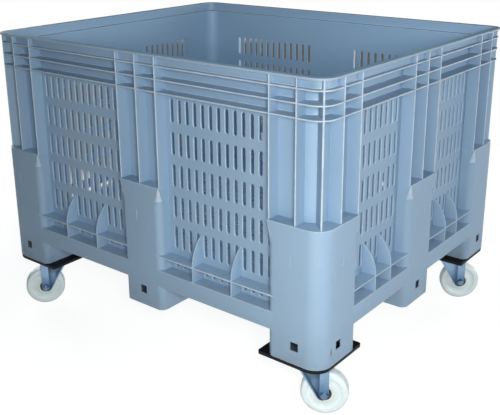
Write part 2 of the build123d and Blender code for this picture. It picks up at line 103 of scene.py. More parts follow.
# Each wall: the direction along it and out of it, half its length, its distance out, and its columns of slots
WALLS = {
    "front": (Vector((1, 0, 0)), Vector((0, -1, 0)), HALF_LENGTH, HALF_WIDTH, LONG_COLUMNS),
    "right": (Vector((0, 1, 0)), Vector((1, 0, 0)), HALF_WIDTH, HALF_LENGTH, SHORT_COLUMNS),
    "rear": (Vector((-1, 0, 0)), Vector((0, 1, 0)), HALF_LENGTH, HALF_WIDTH, LONG_COLUMNS),
    "left": (Vector((0, -1, 0)), Vector((-1, 0, 0)), HALF_WIDTH, HALF_LENGTH, SHORT_COLUMNS),
}
CORNERS = {"front_right": (1, -1), "rear_right": (1, 1), "rear_left": (-1, 1), "front_left": (-1, -1)}
UP = Vector((0, 0, 1))

# Rest angle of each castor: the way its wheel trails, in degrees from +X
TRAIL_ANGLES = {"front_right": 30.0, "rear_right": 36.0, "front_left": 232.0, "rear_left": 150.0}

# The wheel: half its width at hub and web, radii, its shoulder as distances along the axle and radii, and two
# moulded lines as radius, width and depth
HUB_HALF, WEB_HALF, BORE_R, WHEEL_ROUND = 0.019, 0.016, 0.019, 0.0009
HUB_R, WEB_RADII, FACE_RADII = 0.027, (0.029, 0.0445), (0.0465, 0.054)
SHOULDER = ((0.0181, 0.0578), (0.0155, 0.0610), (0.0110, 0.0625))
WEB_LINE, FACE_LINE = (0.0362, 0.0016, 0.0005), (0.0500, 0.0012, 0.0004)

# Where a wheel is stained and marked, by radius; painted shade on a fork, along the trail and dark blue by
# height
HUB_STAIN, TREAD_MARKS = (0.018, 0.040), (0.0590, 0.0622)
HOLLOW_SHADE_BEGIN, HOLLOW_SHADE_END, LOW_SHADE_REACH = (0.010, 0.023), (0.026, 0.0275), (0.0565, 0.1085)

# A scuff on the near foot
SCUFF_AT, SCUFF_SIZE = (0.5995, -0.4537, 0.221), (0.006, 0.0036, 0.014)

TUB_COLOUR = (0.285, 0.425, 0.585, 1.0)
ZINC_COLOUR = (0.24, 0.38, 0.53, 1.0)
NYLON_COLOUR = (0.84, 0.96, 1.0, 1.0)
WHITE = (1.0, 1.0, 1.0, 1.0)

# The range that most of a noise's values lie in
NOISE_RANGE = (0.3, 0.7)

# The floor: half its side, its tone and how much that varies, the light it gives, and where it fades to white
GROUND_HALF, GROUND_TONE, GROUND_VARIES, GROUND_LIFT, GROUND_FADE = 12.0, 0.35, 0.01, 0.84, (1.0, 2.2)

# The camera: its angles, the point it turns about and its distance; in pixels, its focal length, the width
# and middle height of the picture, and the height at which it looks straight ahead
VIEW_TURN, VIEW_RISE, VIEW_ROLL = (math.radians(angle) for angle in (38.4, 17.8, -0.4))
VIEW_POINT, VIEW_DISTANCE, SENSOR = (-0.0084, 0, 0.4684), 2.5839, 36.0
FOCAL, PICTURE_WIDE, PICTURE_MIDDLE, VIEW_MIDDLE = 802.9, 500, 207.5, 165.0

# The shade on the floor behind the box: how far in front it spreads from, how dark it is, where it starts and
# ends, and half its width for each metre it has spread
SHADE_FROM, SHADE_DARK = 2.46, 0.90
SHADE_START, SHADE_END, SHADE_WIDE = (1.05, 1.5), (5.3, 6.4), (0.245, 0.295)

# The surroundings' light on the box, in reflections, and its tint
AMBIENT, AMBIENT_GLOSS, AMBIENT_TINT = 0.10, 0.35, (0.62, 0.88, 1.0, 1.0)

# Each lamp's place, the point it looks at, its size, its power and its tint
LAMPS = {
    "main_light": ((1.6, -1.85, 1.28), (0.2, -0.3, 0.5), 0.4, 31.0, (1.0, 0.97, 0.92)),
    "low_light": ((0.85, -1.05, 0.4), (0.2, -0.3, 0.5), 0.6, 2.2, (1.0, 0.95, 0.9)),
    "side_light": ((3.2, 1.2, 0.75), (0.3, 0.0, 0.5), 1.0, 31.0, WHITE[:3]),
    "back_light": ((0.6, 3.2, 0.75), (0.0, 0.0, 0.5), 1.4, 28.0, WHITE[:3]),
    "left_light": ((-3.0, 0.6, 0.75), (0.0, 0.0, 0.5), 1.4, 34.0, WHITE[:3]),
    "top_light": ((0.35, -0.25, 2.1), (0.0, 0.1, 0.6), 1.0, 3.0, (0.72, 0.88, 1.0)),
    "inner_light": ((0.3, -0.25, 0.98), (0.0, 0.47, 0.88), 0.5, 1.2, (0.85, 0.94, 1.0)),
}


# Meshes


def link(data, name):
    """A new object for a mesh, lamp or camera, in the scene and at the origin."""
    piece = bpy.data.objects.new(name, data)
    scene.collection.objects.link(piece)
    return piece


def plain_mesh(piece, name):
    """The mesh that an object shows with its modifiers; the object itself goes."""
    depsgraph = bpy.context.evaluated_depsgraph_get()
    mesh = bpy.data.meshes.new_from_object(piece.evaluated_get(depsgraph), depsgraph=depsgraph)
    mesh.name = name
    bpy.data.objects.remove(piece)
    return mesh


def mesh_of(bm, name, outward=True):
    """A mesh from a bmesh, which is freed; its faces are turned outwards unless they are to stay."""
    if outward:
        bmesh.ops.recalc_face_normals(bm, faces=bm.faces)
    mesh = bpy.data.meshes.new(name)
    bm.to_mesh(mesh)
    bm.free()
    return mesh


@contextmanager
def edited(mesh):
    """A mesh as a bmesh, written back at the end."""
    bm = bmesh.new()
    bm.from_mesh(mesh)
    yield bm
    bm.to_mesh(mesh)
    bm.free()


def keep(mesh, label, domain, values):
    """Keep a number for each point or face of a mesh, for a node to read."""
    mesh.attributes.new(label, "FLOAT", domain).data.foreach_set("value", values)


def bevelled(mesh, name, width, segments):
    """The mesh with its sharp edges rounded."""
    piece = link(mesh, "bevel_work")
    bevel = piece.modifiers.new("edges", "BEVEL")
    bevel.width = width
    bevel.segments = segments
    bevel.limit_method = "ANGLE"
    bevel.angle_limit = BEVEL_ANGLE
    return plain_mesh(piece, name)


def joined(name, parts, outward=False):
    """One mesh from several, each with the matrix that places it."""
    bm = bmesh.new()
    for mesh, place in parts:
        copy = mesh.copy()
        copy.transform(place)
        bm.from_mesh(copy)
        bpy.data.meshes.remove(copy)
    return mesh_of(bm, name, outward)


def mark_edges(mesh):
    """Mark the narrow faces that round a piece's edges, for its finish to lighten as wear and as painted
    highlight.
    """
    values = []
    for face in mesh.polygons:
        points = [mesh.vertices[index].co for index in face.vertices]
        longest = max((a - b).length for a, b in zip(points, points[1:] + points[:1]))
        values.append(1.0 if face.area < longest * EDGE_FACE else 0.0)
    keep(mesh, "worn_edge", "FACE", values)


def finished(mesh, finish, body, replaced):
    """Put a mesh in the scene as a finished piece of the same name, on its body."""
    with edited(mesh) as bm:
        bmesh.ops.dissolve_degenerate(bm, dist=SLIVER, edges=bm.edges)
    mark_edges(mesh)
    mesh.shade_smooth()
    mesh.set_sharp_from_angle(angle=SHARP_ANGLE)
    mesh.materials.clear()
    mesh.materials.append(finish)
    piece = link(mesh, mesh.name)
    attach(piece, body)
    if replaced:
        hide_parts(*replaced)


def tub_piece(mesh, *replaced):
    """Put a mesh in the scene as a finished piece of the tub."""
    finished(mesh, TUB, "crate", replaced)


def soften(points, radius, sharp=()):
    """Round the corners of a closed outline, apart from the sharp ones."""
    most = 0.45
    rounded = []
    for index, point in enumerate(points):
        here = Vector(point)
        if index in sharp:
            rounded.append(here)
            continue
        before = Vector(points[index - 1]) - here
        after = Vector(points[(index + 1) % len(points)]) - here
        reach = min(radius, before.length * most, after.length * most)
        first = here + before.normalized() * reach
        last = here + after.normalized() * reach
        for t in (0.0, 0.5, 1.0):
            rounded.append(first * (1 - t) ** 2 + here * (2 * t * (1 - t)) + last * t ** 2)
    return rounded


def arc(centre, radius, start, end, steps=CORNER_STEPS):
    """Points along an arc, in degrees, both ends included."""
    points = []
    for step in range(steps + 1):
        angle = math.radians(start + (end - start) * step / steps)
        points.append(Vector((centre[0] + radius * math.cos(angle), centre[1] + radius * math.sin(angle))))
    return points


def corner_radius(inset):
    """Corner radius of the box's outline at an inset: one family for the rim, one for the skin."""
    if inset < (UPSTAND_IN + SKIN_OUT) / 2:
        return CORNER_R - inset
    return INNER_CORNER_R + SKIN_IN - inset


def outline(inset):
    """Points round the box at an inset, anticlockwise from the front right corner."""
    radius = corner_radius(inset)
    points = []
    for index, (side_x, side_y) in enumerate(CORNERS.values()):
        centre = (side_x * (HALF_LENGTH - inset - radius), side_y * (HALF_WIDTH - inset - radius))
        points += arc(centre, radius, 90 * index - 90, 90 * index)
    return points


def axes_at(place, *axes):
    """A matrix that lays local X, Y and Z along three directions from a point."""
    return Matrix.Translation(place) @ Matrix(axes).transposed().to_4x4()


def row(bm, points, height):
    """New points over an outline, at a height."""
    return [bm.verts.new((p[0], p[1], height)) for p in points]


def stitch(bm, loops):
    """Faces between each closed loop of points and the next."""
    for first, last in zip(loops, loops[1:]):
        for i in range(len(first)):
            j = (i + 1) % len(first)
            bm.faces.new((first[i], first[j], last[j], last[i]))


def prism(name, points, low, high):
    """A closed upright prism on an outline."""
    bm = bmesh.new()
    ends = [row(bm, points, height) for height in (low, high)]
    for end in ends:
        bm.faces.new(end)
    stitch(bm, ends)
    return mesh_of(bm, name)


def bar(name, profile, begin, end):
    """A closed bar along local X with a section in local Y and Z."""
    mesh = prism(name, profile, begin, end)
    mesh.transform(Matrix(((0, 0, 1), (1, 0, 0), (0, 1, 0))).to_4x4())
    return mesh


def ring(name, profile):
    """A closed band swept round the box from a section of insets and heights."""
    bm = bmesh.new()
    loops = [row(bm, outline(inset), height) for inset, height in profile]
    stitch(bm, loops + loops[:1])
    return mesh_of(bm, name)


def lathe(name, section):
    """A closed ring turned about local X from a section of distances along and radii."""
    bm = bmesh.new()
    loops = []
    for step in range(WHEEL_STEPS):
        turn = Matrix.Rotation(2 * math.pi * step / WHEEL_STEPS, 3, "X")
        loops.append([bm.verts.new(turn @ Vector((along, radius, 0))) for along, radius in section])
    stitch(bm, loops + loops[:1])
    return mesh_of(bm, name)


def block(name, low, high):
    """A closed box between two corners."""
    bm = bmesh.new()
    bmesh.ops.create_cube(bm, size=1.0)
    for vert in bm.verts:
        vert.co = [low[i] if vert.co[i] < 0 else high[i] for i in range(3)]
    return mesh_of(bm, name)


def cut(mesh, cutters, name):
    """The mesh with blocks taken out of it, one after the other."""
    piece = link(mesh, "cut_work")
    tools = [link(block("cutter", low, high), "cutter") for low, high in cutters]
    for tool in tools:
        work = piece.modifiers.new("cut", "BOOLEAN")
        work.operation = "DIFFERENCE"
        work.solver = "EXACT"
        work.object = tool
    made = plain_mesh(piece, name)
    for tool in tools:
        bpy.data.objects.remove(tool)
    return made


# Nodes


class Net:
    """A node tree and a short way to write its nodes; an input takes a node's output or a plain value."""

    def __init__(self, tree):
        self.tree = tree

    def feed(self, socket, value):
        """Link an output to a socket or set the socket's own value, without alpha where it is a vector."""
        if isinstance(value, bpy.types.NodeSocket):
            self.tree.links.new(value, socket)
        else:
            socket.default_value = value[:3] if socket.type == "VECTOR" else value

    def add(self, kind, inputs=(), **settings):
        """A new node with its settings, and its inputs by name or number."""
        node = self.tree.nodes.new(kind)
        for name, setting in settings.items():
            setattr(node, name, setting)
        for label, value in dict(inputs).items():
            self.feed(node.inputs[label], value)
        return node

    def maths(self, operation, *operands):
        """A Math node's value."""
        return self.add("ShaderNodeMath", enumerate(operands), operation=operation).outputs[0]

    plus = partialmethod(maths, "ADD")
    minus = partialmethod(maths, "SUBTRACT")
    times = partialmethod(maths, "MULTIPLY")
    larger = partialmethod(maths, "MAXIMUM")

    def vector(self, operation, *operands):
        """A Vector Math node's outputs."""
        return self.add("ShaderNodeVectorMath", enumerate(operands), operation=operation).outputs

    def split(self, vector):
        """The X, Y and Z of a vector."""
        return self.add("ShaderNodeSeparateXYZ", {0: vector}).outputs

    def noise(self, vector, scale, detail, roughness=0.5):
        """A Noise Texture's value."""
        inputs = {"Vector": vector, "Scale": scale, "Detail": detail, "Roughness": roughness}
        return self.add("ShaderNodeTexNoise", inputs).outputs["Fac"]

    def spread(self, value, low, high, to_low=0.0, to_high=1.0):
        """A value from one range in another, clamped."""
        inputs = {"Value": value, "From Min": low, "From Max": high, "To Min": to_low, "To Max": to_high}
        return self.add("ShaderNodeMapRange", inputs).outputs["Result"]

    def fall(self, value, low, high):
        """A value that falls from 1 to 0 over a range."""
        return self.spread(value, low, high, 1.0, 0.0)

    def mixed(self, factor, first, second):
        """A mix of two colours."""
        return self.add("ShaderNodeMix", {0: factor, 6: first, 7: second}, data_type="RGBA").outputs[2]

    def toned(self, tone, colour):
        """A colour made lighter or darker by a tone about 1."""
        return self.add("ShaderNodeVectorMath", {0: colour, "Scale": tone}, operation="SCALE").outputs[0]

    def kept(self, label):
        """The number that a mesh keeps under a name."""
        return self.add("ShaderNodeAttribute", attribute_name=label).outputs["Fac"]


def new_group(name, kind, inputs, outputs):
    """A node group with named sockets and their kinds: its net, what it is given and what it makes."""
    group = bpy.data.node_groups.new(name, kind)
    for way, sockets in (("INPUT", inputs), ("OUTPUT", outputs)):
        for label, socket in sockets.items():
            group.interface.new_socket(label, in_out=way, socket_type="NodeSocket" + socket)
    net = Net(group)
    return net, net.add("NodeGroupInput").outputs, net.add("NodeGroupOutput").inputs


def copies_tree(name, inputs):
    """A geometry node group that copies an object and paints what it makes."""
    inputs = {"Geometry": "Geometry", "Copied piece": "Object", "Material": "Material", **inputs}
    net, given, made = new_group(name, "GeometryNodeTree", inputs, {"Geometry": "Geometry"})
    piece = net.add("GeometryNodeObjectInfo", {"Object": given["Copied piece"], "As Instance": True})
    copies = net.add("GeometryNodeInstanceOnPoints", {"Instance": piece.outputs["Geometry"]})
    real = net.add("GeometryNodeRealizeInstances", {"Geometry": copies.outputs["Instances"]})
    paint = net.add("GeometryNodeSetMaterial", {"Material": given["Material"]})
    net.feed(made["Geometry"], paint.outputs["Geometry"])
    return net, given, copies.inputs, real.outputs["Geometry"], paint.inputs["Geometry"]


def slotted_sheet_tree():
    """A grid of slot tiles, joined into one sheet whose border is drawn out to the panel's edges."""
    net, given, copies, tiles, sheet = copies_tree("slotted_sheet", {
        "Columns": "Int", "Rows": "Int", "Column pitch": "Float", "Row pitch": "Float",
        "Panel width": "Float", "Panel height": "Float",
    })
    where = net.split(net.add("GeometryNodeInputPosition").outputs[0])
    counts, places = {}, {"Z": where["Z"]}
    for axis, count, pitch, size in (
        ("X", "Columns", "Column pitch", "Panel width"), ("Y", "Rows", "Row pitch", "Panel height"),
    ):
        counts["Size " + axis] = net.times(net.minus(given[count], 1), given[pitch])
        counts["Vertices " + axis] = given[count]
        half_grid = net.times(net.times(given[count], given[pitch]), 0.5)
        from_middle = net.maths("ABSOLUTE", where[axis])
        on_border = net.maths("GREATER_THAN", from_middle, net.minus(half_grid, BORDER_SLACK))
        edge = net.times(net.maths("SIGN", where[axis]), net.times(given[size], 0.5))
        places[axis] = net.plus(where[axis], net.times(net.minus(edge, where[axis]), on_border))
    net.feed(copies["Points"], net.add("GeometryNodeMeshGrid", counts).outputs["Mesh"])
    weld = net.add("GeometryNodeMergeByDistance", {"Geometry": tiles, "Distance": TILE_WELD})
    place = net.add("ShaderNodeCombineXYZ", places).outputs[0]
    drawn = net.add("GeometryNodeSetPosition", {"Geometry": weld.outputs["Geometry"], "Position": place})
    net.feed(sheet, drawn.outputs["Geometry"])
    return net.tree


def placed_copies_tree():
    """A copy of an object at each point, turned about Z by the point's own angle."""
    net, given, copies, real, painted = copies_tree("placed_copies", {})
    turn = net.add("GeometryNodeInputNamedAttribute", {"Name": "turn"}, data_type="FLOAT")
    angles = net.add("ShaderNodeCombineXYZ", {"Z": turn.outputs["Attribute"]})
    rotation = net.add("FunctionNodeEulerToRotation", {0: angles.outputs[0]})
    net.feed(copies["Points"], given["Geometry"])
    net.feed(copies["Rotation"], rotation.outputs[0])
    net.feed(painted, real)
    return net.tree


def run_tree(tree, carrier, piece, name, values=()):
    """The plain mesh that a tree makes from a carrier mesh and a piece that it copies."""
    carrier, master = link(carrier, "carrier"), link(piece, "copied_piece")
    values = {"Copied piece": master, "Material": TUB, **dict(values)}
    work = carrier.modifiers.new("nodes", "NODES")
    work.node_group = tree
    for item in tree.interface.items_tree:
        if item.in_out == "INPUT" and item.name in values:
            work[item.identifier] = values[item.name]
    made = plain_mesh(carrier, name)
    bpy.data.objects.remove(master)
    return made


def copies_at(mesh, places, name):
    """One mesh with a copy of another at each (point, angle)."""
    points = bpy.data.meshes.new("points")
    points.from_pydata([tuple(point) for point, angle in places], [], [])
    keep(points, "turn", "POINT", [angle for point, angle in places])
    return run_tree(COPIES, points, mesh, name)


# Finishes


def srgb(red, green, blue):
    """A colour as written, 0 to 255, in linear light."""
    linear = []
    for level in (red, green, blue):
        part = level / 255
        linear.append(part / 12.92 if part <= 0.04045 else ((part + 0.055) / 1.055) ** 2.4)
    return (*linear, 1.0)


def effect_group(name, values, results):
    """A shader node group for several finishes: its net, what it makes, and the place and values it gets."""
    inputs = {"Vector": "Vector", **dict.fromkeys(values, "Float")}
    net, given, made = new_group(name, "ShaderNodeTree", inputs, dict.fromkeys(results, "Float"))
    return net, made, *(given[label] for label in inputs)


def moulding_group():
    """Slow changes of tone and a fine grain, as on a moulded or cast surface."""
    net, made, place, patch_scale, grain_scale, most = effect_group(
        "moulded_surface", ("Patch scale", "Grain scale", "Spread"), ("Tone", "Grain"))
    swing = net.times(net.minus(net.noise(place, patch_scale, 3.0), 0.5), most)
    net.feed(made["Tone"], net.plus(net.times(swing, 4.0), 1.0))
    net.feed(made["Grain"], net.noise(place, grain_scale, 2.0))
    return net.tree


def rubbed_group():
    """Thin rubbed lines in scattered patches."""
    net, made, place, line_scale, patch_scale, cover = effect_group(
        "rubbed_marks", ("Line scale", "Patch scale", "Cover"), ("Mask",))
    bend = net.add("ShaderNodeTexNoise", {"Vector": place, "Scale": 5.0}).outputs["Color"]
    swayed = net.vector("MULTIPLY_ADD", bend, (0.08, 0.08, 0.16), place)[0]
    inputs = {"Vector": swayed, "Scale": line_scale}
    cells = net.add("ShaderNodeTexVoronoi", inputs, feature="DISTANCE_TO_EDGE")
    lines = net.fall(cells.outputs["Distance"], 0.004, 0.022)
    edge = net.minus(1.0, cover)
    patches = net.spread(net.noise(place, patch_scale, 4.0), edge, net.plus(edge, 0.12))
    net.feed(made["Mask"], net.times(lines, patches))
    return net.tree


def dirt_group():
    """Dirt that thins out upwards from a height, and gathers on faces that look up."""
    net, made, place, low, reach, on_ledges = effect_group(
        "settled_dirt", ("Low", "Reach", "On ledges"), ("Mask",))
    height = net.fall(net.split(place)["Z"], low, net.plus(low, reach))
    clouds = net.spread(net.noise(place, 9.0, 6.0, 0.62), 0.42, 0.72)
    facing = net.split(net.add("ShaderNodeNewGeometry").outputs["Normal"])["Z"]
    level = net.times(net.spread(facing, 0.6, 0.95), on_ledges)
    specks = net.spread(net.noise(place, 42.0, 5.0, 0.6), 0.40, 0.68, 0.15, 1.0)
    net.feed(made["Mask"], net.larger(net.times(height, clouds), net.times(level, specks)))
    return net.tree


def wear_and_highlight_group():
    """Pale rounded edges that a mesh has marked, partly wear and partly painted highlight, more and less of
    it in patches.
    """
    net, made, place, patch_scale, least, most = effect_group(
        "edge_wear", ("Patch scale", "Least", "Most"), ("Mask",))
    patches = net.spread(net.noise(place, patch_scale, 4.0), 0.3, 0.6, least, most)
    net.feed(made["Mask"], net.times(net.kept("worn_edge"), patches))
    return net.tree


class Finish(Net):
    """A material under way: a colour with changes of tone and a grain, and layers of other colours on it."""

    def __init__(self, name, colour, metallic, patch_scale, grain_scale, swing):
        self.material = bpy.data.materials.new(name)
        self.material.use_nodes = True
        super().__init__(self.material.node_tree)
        self.shader = self.tree.nodes["Principled BSDF"].inputs
        self.shader["Metallic"].default_value = metallic
        self.place = self.add("ShaderNodeTexCoord").outputs["Object"]
        surface = self.effect(MOULDING, patch_scale, grain_scale, swing)
        self.grain = surface["Grain"]
        self.colour = self.toned(surface["Tone"], colour)

    def effect(self, group, *values):
        """The outputs of a group with its own values, in the order of its inputs."""
        return self.add("ShaderNodeGroup", enumerate((self.place, *values)), node_tree=group).outputs

    def rubbed(self, line_scale, patch_scale, cover):
        """Where the surface is rubbed."""
        return self.effect(RUBBED, line_scale, patch_scale, cover)["Mask"]

    def worn_and_lit(self, patch_scale, least, most):
        """Where the edges are pale, partly from wear and partly as painted highlight."""
        return self.effect(WEAR_AND_HIGHLIGHT, patch_scale, least, most)["Mask"]

    def dirt(self, low, reach, on_ledges):
        """Where the surface is dirty."""
        return self.effect(DIRT, low, reach, on_ledges)["Mask"]

    def cloud(self, limits, scale, detail, roughness=0.5):
        """Noise over the surface, spread between limits."""
        return self.spread(self.noise(self.place, scale, detail, roughness), *limits)

    def layer(self, mask, share, colour):
        """Lay a colour over the others where a mask says, to a share of its strength."""
        self.colour = self.mixed(self.times(mask, share), self.colour, colour)

    def grained(self, low, high):
        """A roughness that follows the grain between two values."""
        return self.spread(self.grain, *NOISE_RANGE, low, high)

    def done(self, rough, deep, strength):
        """The material, with its roughness and a bump from the grain."""
        relief = self.add("ShaderNodeBump", {"Height": self.grain, "Distance": deep, "Strength": strength})
        self.feed(self.shader["Base Color"], self.colour)
        self.feed(self.shader["Roughness"], rough)
        self.feed(self.shader["Normal"], relief.outputs["Normal"])
        return self.material


def tub_finish():
    """Blue-grey moulded plastic, a little rubbed, dirt low on the feet and on the ledges, edges partly worn
    and partly painted highlight, painted shade inside the hollow feet.
    """
    tub = Finish("tub_plastic", TUB_COLOUR, metallic=0.0, patch_scale=5.0, grain_scale=520.0, swing=0.035)
    rubbed = tub.rubbed(line_scale=22.0, patch_scale=6.0, cover=0.40)
    dirt = tub.dirt(low=FOOT_Z, reach=0.10, on_ledges=0.45)
    tub.layer(rubbed, 0.10, srgb(196, 212, 226))
    # Pale edges: partly wear, partly a painted highlight where the rounded edges would catch the light
    tub.layer(tub.worn_and_lit(patch_scale=30.0, least=0.35, most=0.75), 1.0, srgb(206, 218, 228))
    tub.layer(dirt, 0.30, srgb(112, 112, 104))
    away = tub.vector("DIVIDE", tub.vector("SUBTRACT", tub.place, SCUFF_AT)[0], SCUFF_SIZE)[0]
    scuff = tub.fall(tub.vector("LENGTH", away)["Value"], 0.4, 1.0)
    tub.layer(tub.times(scuff, tub.cloud((0.32, 0.46), scale=110.0, detail=3.0)), 0.95, srgb(104, 80, 74))
    # Painted shade: the lining of the hollow feet, seen through their windows, is darkened as if in shade
    tub.layer(tub.kept("inside_foot"), 0.85, srgb(84, 84, 96))
    rough = tub.plus(tub.grained(0.42, 0.52), tub.times(dirt, 0.18))
    return tub.done(tub.minus(rough, tub.times(rubbed, 0.08)), deep=0.00018, strength=0.6)


def black_finish():
    """Black plastic plate, greyer where it has been rubbed."""
    black = Finish("black_plate", srgb(13, 13, 18), metallic=0.0,
                   patch_scale=14.0, grain_scale=600.0, swing=0.12)
    black.shader["Specular IOR Level"].default_value = 0.2
    black.layer(black.rubbed(line_scale=40.0, patch_scale=14.0, cover=0.5), 0.08, srgb(84, 86, 92))
    return black.done(black.grained(0.48, 0.62), deep=0.0002, strength=0.7)


def zinc_finish():
    """Bluish zinc on pressed steel: faint crystals, edges partly worn and partly painted highlight, painted
    shade in the fork's hollow and low down.
    """
    zinc = Finish("zinc_steel", ZINC_COLOUR, metallic=1.0, patch_scale=30.0, grain_scale=1400.0, swing=0.10)
    dirt = zinc.dirt(low=0.02, reach=0.16, on_ledges=0.5)
    crystals = zinc.add("ShaderNodeTexVoronoi", {"Vector": zinc.place, "Scale": 170.0})
    flakes = zinc.add("ShaderNodeSeparateColor", {0: crystals.outputs["Color"]}).outputs
    zinc.colour = zinc.toned(zinc.spread(flakes[0], 0.0, 1.0, 0.93, 1.06), zinc.colour)
    zinc.layer(zinc.rubbed(line_scale=60.0, patch_scale=22.0, cover=0.5), 0.4, srgb(214, 224, 232))
    # Pale edges: partly wear, partly a painted highlight where the rounded edges would catch the light
    zinc.layer(zinc.worn_and_lit(patch_scale=30.0, least=0.5, most=0.5), 1.0, srgb(196, 210, 222))
    along = zinc.kept("along_trail")
    # Painted shade in the hollow beside the fork's raised strip, by distance along the trail
    hollow_shade = zinc.times(zinc.spread(along, *HOLLOW_SHADE_BEGIN), zinc.fall(along, *HOLLOW_SHADE_END))
    # Painted shade: the fork turns darker and bluer towards its bottom by the axle, by height
    zinc.layer(zinc.fall(zinc.split(zinc.place)["Z"], *LOW_SHADE_REACH), 0.8, srgb(26, 66, 112))
    zinc.layer(hollow_shade, 0.6, srgb(26, 54, 92))
    zinc.layer(dirt, 0.25, srgb(92, 92, 90))
    rough = zinc.plus(zinc.spread(flakes[1], 0.0, 1.0, 0.30, 0.40), zinc.times(dirt, 0.25))
    return zinc.done(rough, deep=0.0001, strength=0.5)


def bright_finish():
    """Bright zinc on bolts, nuts, pins and balls."""
    bright = Finish("bright_steel", srgb(112, 132, 156), metallic=1.0,
                    patch_scale=90.0, grain_scale=2200.0, swing=0.12)
    dirt = bright.dirt(low=0.02, reach=0.22, on_ledges=0.3)
    bright.layer(dirt, 0.3, srgb(70, 72, 74))
    rough = bright.plus(bright.grained(0.18, 0.30), bright.times(dirt, 0.3))
    return bright.done(rough, deep=0.00006, strength=0.5)


def nylon_finish():
    """White nylon, yellowed round the hub and marked on the tread; the radius is kept on the wheel's mesh."""
    nylon = Finish("white_nylon", NYLON_COLOUR, metallic=0.0, patch_scale=22.0, grain_scale=900.0, swing=0.03)
    out = nylon.kept("from_axle")
    stains = nylon.cloud((0.3, 0.62, 0.25, 1.0), scale=34.0, detail=5.0, roughness=0.6)
    marks = nylon.cloud((0.38, 0.62, 0.1, 1.0), scale=60.0, detail=6.0, roughness=0.65)
    hub = nylon.times(nylon.fall(out, *HUB_STAIN), stains)
    tread = nylon.times(nylon.spread(out, *TREAD_MARKS), marks)
    nylon.layer(hub, 0.35, srgb(184, 186, 160))
    nylon.layer(tread, 0.35, srgb(150, 150, 146))
    nylon.layer(nylon.rubbed(line_scale=70.0, patch_scale=20.0, cover=0.52), 0.2, srgb(176, 180, 178))
    rough = nylon.plus(nylon.grained(0.32, 0.42), nylon.times(tread, 0.2))
    return nylon.done(rough, deep=0.0001, strength=0.4)


def bearing_finish():
    """Dark greasy plastic of the hub bearings."""
    bearing = Finish("bearing_black", srgb(38, 38, 40), metallic=0.0,
                     patch_scale=60.0, grain_scale=1500.0, swing=0.15)
    return bearing.done(bearing.grained(0.35, 0.55), deep=0.0001, strength=0.5)


MOULDING = moulding_group()
RUBBED = rubbed_group()
DIRT = dirt_group()
WEAR_AND_HIGHLIGHT = wear_and_highlight_group()
TUB = tub_finish()
BLACK = black_finish()
ZINC = zinc_finish()
BRIGHT = bright_finish()
NYLON = nylon_finish()
BEARING = bearing_finish()
SHEET = slotted_sheet_tree()
COPIES = placed_copies_tree()


# Tub


def make_rim():
    """The rim, its upstand and the three level ribs below it, all round the box."""
    bands = []
    for top in (*RIB_TOPS[::-1], STEP_Z):
        bands += [(SKIN_OUT, top - RIB), (RIB_INSET, top - RIB), (RIB_INSET, top), (SKIN_OUT, top)]
    section = [
        (0, RIM_Z), (UPSTAND_IN, RIM_Z), (UPSTAND_IN, STEP_Z), (SKIN_IN, STEP_Z), (SKIN_IN, PANEL_HIGH),
        *bands[1:-1], (UPSTAND_OUT, STEP_Z), (UPSTAND_OUT, RIM_Z - RIM_THICK), (0, RIM_Z - RIM_THICK),
    ]
    seam = section.index((SKIN_IN, PANEL_HIGH))
    tub_piece(ring("rim_bands", soften(section, EDGE, (seam,))), *(f"{side}_rails" for side in WALLS))


def rib_plate(thick, deep, low, high):
    """An upright rib with a rounded outer edge; local Y runs inwards from that edge."""
    turn = thick * RIB_ROUND
    points = [Vector((-thick / 2, deep))]
    points += arc((-thick / 2 + turn, turn), turn, 180, 270, RIB_STEPS)
    points += arc((thick / 2 - turn, turn), turn, 270, 360, RIB_STEPS)
    points.append(Vector((thick / 2, deep)))
    return prism("rib", points, low, high)


def make_ribs():
    """Every upright rib: seven to a wall and one across each corner."""
    straight, across = [], []
    for run, out, half, distance, columns in WALLS.values():
        turn = math.atan2(run.y, run.x)
        ends = (half - CORNER_REACH + RIB / 2, half - CORNER_RIB_AT)
        middles = (0.0, MID_HALF - RIB / 2)
        for along in sorted({side * at for at in ends + middles for side in (-1, 1)}):
            straight.append((run * along + out * (distance - RIB_INSET - RIB_BACK), turn))
    for side_x, side_y in CORNERS.values():
        outward = Vector((side_x, side_y, 0)).normalized()
        centre = Vector((side_x * (HALF_LENGTH - CORNER_R), side_y * (HALF_WIDTH - CORNER_R), 0))
        edge = centre + outward * (CORNER_R - RIB_INSET + RIB_BACK)
        across.append((edge, math.atan2(-outward.y, -outward.x) - math.pi / 2))
    long_gap = math.sqrt(2) * (INNER_CORNER_R + SKIN_IN - CORNER_R)
    parts = []
    for thick, places, gap in ((RIB, straight, SKIN_OUT - RIB_INSET), (SEAM, across, long_gap)):
        for deep, low, high in (
            (gap, BOOT_Z, STEP_Z - RIB), (UPSTAND_OUT - RIB_INSET, STEP_Z, RIM_Z - RIM_THICK),
        ):
            rib = rib_plate(thick, deep + RIB_SUNK, low - RIB_SUNK, high + RIB_SUNK)
            parts.append((copies_at(rib, places, "rib_set"), Matrix()))
    tub_piece(joined("upright_ribs", parts))


def boot_levels():
    """Heights up a boot, each with the radius of its upright edges and how far it is trimmed there."""
    levels = []
    for height, trim in ((0, EDGE), (EDGE_TURN, EDGE_TURN), (EDGE, 0), (DECK_LOW - FOOT_Z, 0)):
        levels.append((FOOT_Z + height, BOOT_EDGE_R, trim))
    for step in range(RUNOUT_STEPS + 1):
        share = step / RUNOUT_STEPS
        height = BOOT_Z - EDGE - (BOOT_RUNOUT - EDGE) * (1 - share)
        levels.append((height, BOOT_EDGE_R + (BOOT_TIP_R - BOOT_EDGE_R) * share, 0))
    return [*levels, (BOOT_Z - EDGE_TURN, BOOT_TIP_R, EDGE_TURN), (BOOT_Z, BOOT_TIP_R, EDGE)]


